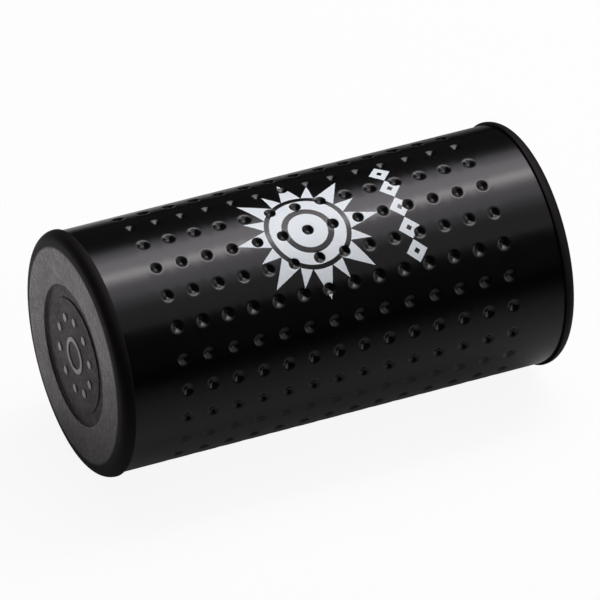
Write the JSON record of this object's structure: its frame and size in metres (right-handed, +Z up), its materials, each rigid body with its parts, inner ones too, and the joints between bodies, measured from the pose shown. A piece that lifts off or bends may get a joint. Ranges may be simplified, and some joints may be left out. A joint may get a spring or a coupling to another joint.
{
  "type": "shaker",
  "caption": "Hand-held cylinder shaker: a dimpled black steel shell closed by two moulded end caps, with a loose filling of steel shot that moves inside.",
  "frame": {"origin": "on the shell's axis, halfway between the outer faces of the end caps", "axes": "+X along the shell's axis towards the right end cap, +Z up as the shaker lies on its side, with the shot at the bottom"},
  "size_m": [0.127, 0.0648, 0.0648],
  "materials": {
    "shell": "satin black lacquer",
    "cap": "matt textured face with a smooth satin rim",
    "shot": "bright steel"
  },
  "bodies": {
    "casing": {"shell": "shell", "left_end_cap": "cap", "right_end_cap": "cap"},
    "bottom_shot": {"shot_bottom_layer": "shot"},
    "middle_shot": {"shot_middle_layer": "shot"},
    "top_shot": {"shot_top_layer": "shot"}
  },
  "joints": [
    {"name": "bottom_shot_slide", "type": "slide", "parent": "casing", "child": "bottom_shot", "axis": [1, 0, 0], "range_m": [-0.0245, 0.0245]},
    {"name": "middle_shot_slide", "type": "slide", "parent": "casing", "child": "middle_shot", "axis": [1, 0, 0], "range_m": [-0.0245, 0.0245]},
    {"name": "top_shot_throw", "type": "slide", "parent": "middle_shot", "child": "top_shot", "axis": [0, 0, 1], "range_m": [0, 0.0395]}
  ]
}
